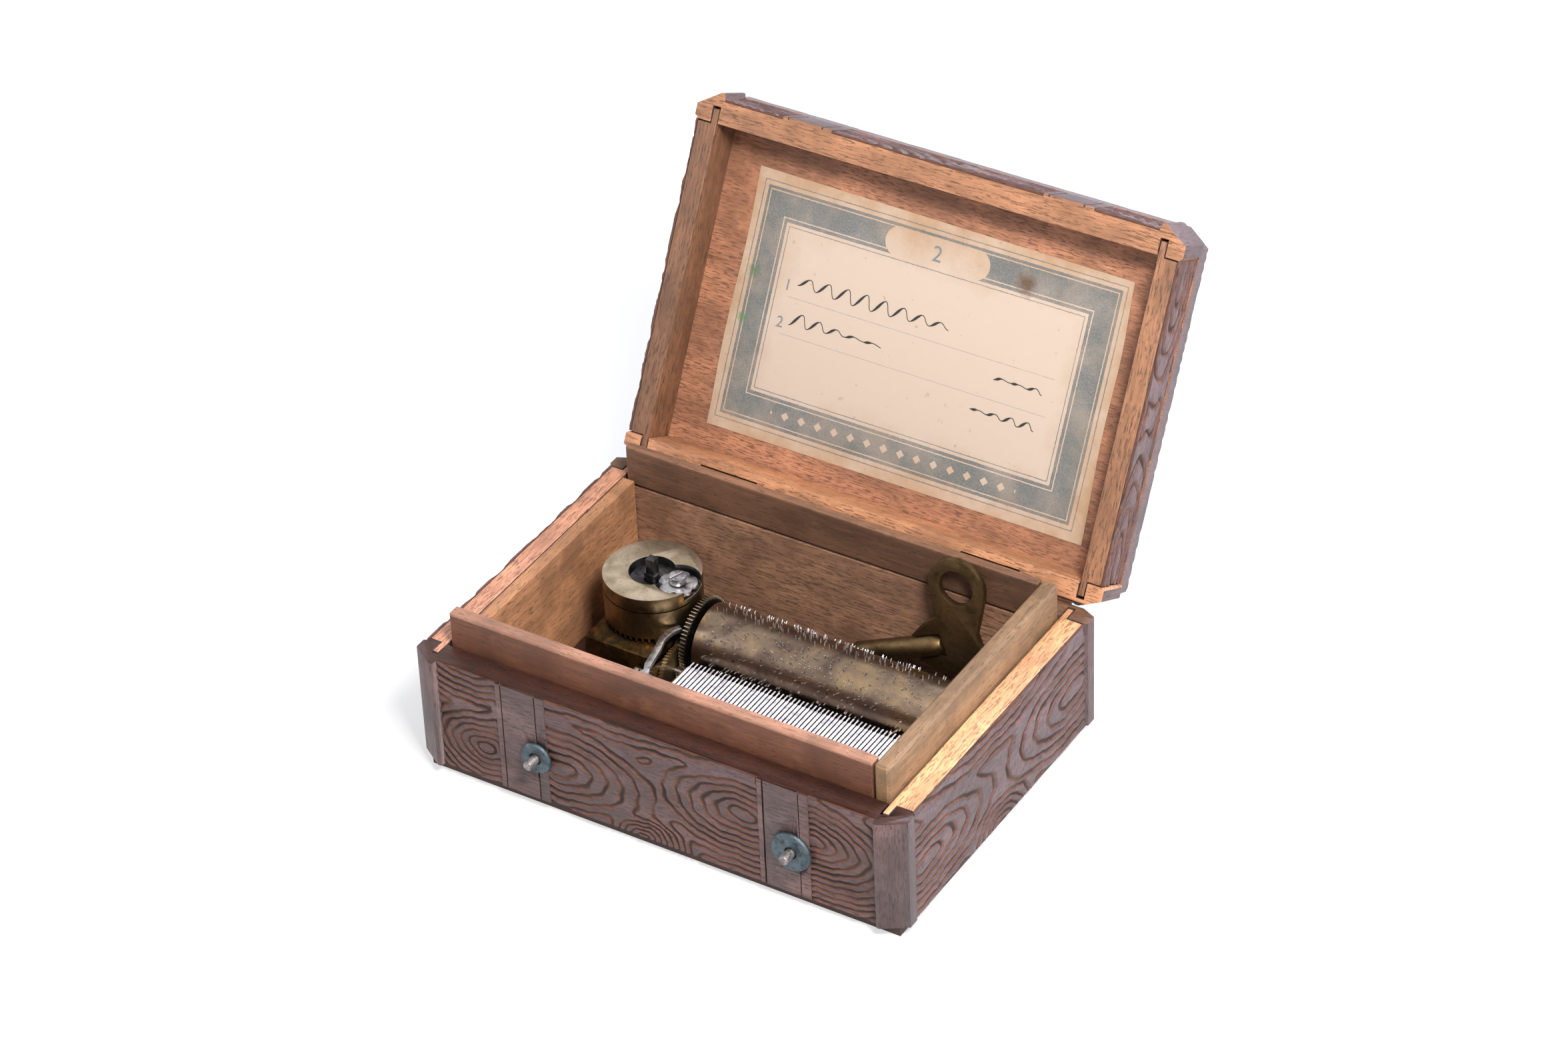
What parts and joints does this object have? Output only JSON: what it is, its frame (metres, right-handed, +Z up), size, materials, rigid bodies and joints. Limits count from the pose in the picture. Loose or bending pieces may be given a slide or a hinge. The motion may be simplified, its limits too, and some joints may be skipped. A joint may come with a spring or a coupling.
{
  "type": "cylinder music box",
  "caption": "Key-wound musical snuff box: a carved wooden case with a hinged lid, holding a pinned cylinder, a steel comb, a spring barrel and a fly governor.",
  "frame": {"origin": "centre of the case's footprint, on the underside of its bottom board", "axes": "+X to the right along the front, +Y to the back where the lid is hinged, +Z up"},
  "size_m": [0.1206, 0.1378, 0.1042],
  "materials": {
    "carved_wood": "dark carved and waxed",
    "plain_wood": "bare, matt",
    "liner_wood": "stained, satin",
    "label_paper": "matt, stained",
    "aged_brass": "dulled",
    "dark_brass": "dark and oily",
    "cylinder_bronze": "mottled",
    "steel": "satin",
    "dark_steel": "dark and oily",
    "comb_steel": "satin, speckled",
    "knob_patina": "dull patina"
  },
  "bodies": {
    "case": {"front_panel": "carved_wood", "back_panel": "carved_wood", "left_panel": "carved_wood", "right_panel": "carved_wood", "bottom_board": "plain_wood", "front_liner": "liner_wood", "right_liner": "liner_wood", "left_liner": "plain_wood", "back_liner": "liner_wood", "back_strip": "liner_wood", "hinge_leaf_case_left": "aged_brass", "hinge_leaf_case_right": "aged_brass", "bedplate": "dark_brass", "bedplate_screw_1": "steel", "bedplate_screw_2": "steel", "barrel_bridge": "dark_brass", "train_plate_left": "aged_brass", "train_plate_right": "aged_brass", "cylinder_bracket_right": "aged_brass", "comb": "comb_steel", "comb_base": "aged_brass", "comb_screw_1": "steel", "comb_screw_2": "steel", "comb_screw_3": "steel", "comb_screw_4": "steel", "comb_screw_5": "steel", "click_spring": "steel", "governor_cock": "aged_brass", "start_washer": "knob_patina", "change_washer": "knob_patina", "key_bow": "dark_brass", "key_shank": "dark_brass"},
    "lid": {"lid_front_wall": "carved_wood", "lid_back_wall": "carved_wood", "lid_left_wall": "carved_wood", "lid_right_wall": "carved_wood", "lid_top_panel": "carved_wood", "lid_label": "label_paper", "hinge_leaf_lid_left": "aged_brass", "hinge_leaf_lid_right": "aged_brass"},
    "cylinder_shaft": {"cylinder_arbor": "steel", "great_wheel": "dark_brass"},
    "cylinder": {"pinned_cylinder": "cylinder_bronze", "cylinder_cap": "aged_brass"},
    "barrel": {"barrel_drum": "aged_brass", "barrel_cap": "aged_brass", "mainspring": "dark_steel", "stop_wheel_screw": "steel"},
    "stop_wheel": {"stop_wheel": "dark_steel"},
    "winding_arbor": {"winding_arbor": "dark_steel"},
    "click": {"click": "steel"},
    "second_wheel": {"second_arbor": "steel", "second_wheel": "aged_brass"},
    "third_wheel": {"third_arbor": "steel", "third_wheel": "aged_brass"},
    "governor": {"endless_screw": "steel"},
    "start_control": {"start_rod": "steel", "start_lever": "steel"},
    "change_control": {"change_rod": "steel", "change_lever": "steel"}
  },
  "joints": [
    {"name": "lid_hinge", "type": "hinge", "parent": "case", "child": "lid", "pos_m": [0, 0.041, 0.03055], "axis": [1, 0, 0], "range_deg": [0, 118]},
    {"name": "cylinder_turn", "type": "hinge", "parent": "case", "child": "cylinder_shaft", "pos_m": [-0.01911, 0.0115, 0.01346], "axis": [1, 0, 0], "continuous": true},
    {"name": "cylinder_shift", "type": "slide", "parent": "cylinder_shaft", "child": "cylinder", "axis": [1, 0, 0], "range_m": [0, 0.0005]},
    {"name": "barrel_turn", "type": "hinge", "parent": "case", "child": "barrel", "pos_m": [-0.0335, 0.0115, 0.01646], "axis": [0, 0, 1], "continuous": true},
    {"name": "stop_wheel_turn", "type": "hinge", "parent": "barrel", "child": "stop_wheel", "pos_m": [-0.027, 0.0115, 0.02461], "axis": [0, 0, 1], "range_deg": [0, 288]},
    {"name": "winding", "type": "hinge", "parent": "case", "child": "winding_arbor", "pos_m": [-0.0335, 0.0115, 0.0039], "axis": [0, 0, 1], "continuous": true},
    {"name": "click_pivot", "type": "hinge", "parent": "case", "child": "click", "pos_m": [-0.04, 0.004, 0.006], "axis": [0, 0, -1], "range_deg": [0, 8], "stiffness_Nm_per_rad": 0.0005},
    {"name": "second_turn", "type": "hinge", "parent": "case", "child": "second_wheel", "pos_m": [-0.02351, 0.00204, 0.00997], "axis": [1, 0, 0], "continuous": true},
    {"name": "third_turn", "type": "hinge", "parent": "case", "child": "third_wheel", "pos_m": [-0.02481, -0.00441, 0.00917], "axis": [1, 0, 0], "continuous": true},
    {"name": "governor_turn", "type": "hinge", "parent": "case", "child": "governor", "pos_m": [-0.02431, -0.00981, 0.00917], "axis": [0, 0, 1], "continuous": true},
    {"name": "start_slide", "type": "slide", "parent": "case", "child": "start_control", "axis": [0, -1, 0], "range_m": [0, 0.0025]},
    {"name": "change_slide", "type": "slide", "parent": "case", "child": "change_control", "axis": [0, -1, 0], "range_m": [0, 0.0025]}
  ],
  "couplings": [
    {"joint": "barrel_turn", "follows": "cylinder_turn", "ratio": -0.25},
    {"joint": "second_turn", "follows": "cylinder_turn", "ratio": -8},
    {"joint": "third_turn", "follows": "cylinder_turn", "ratio": 44},
    {"joint": "governor_turn", "follows": "cylinder_turn", "ratio": 1320},
    {"joint": "cylinder_shift", "follows": "change_slide", "ratio": 0.2}
  ]
}
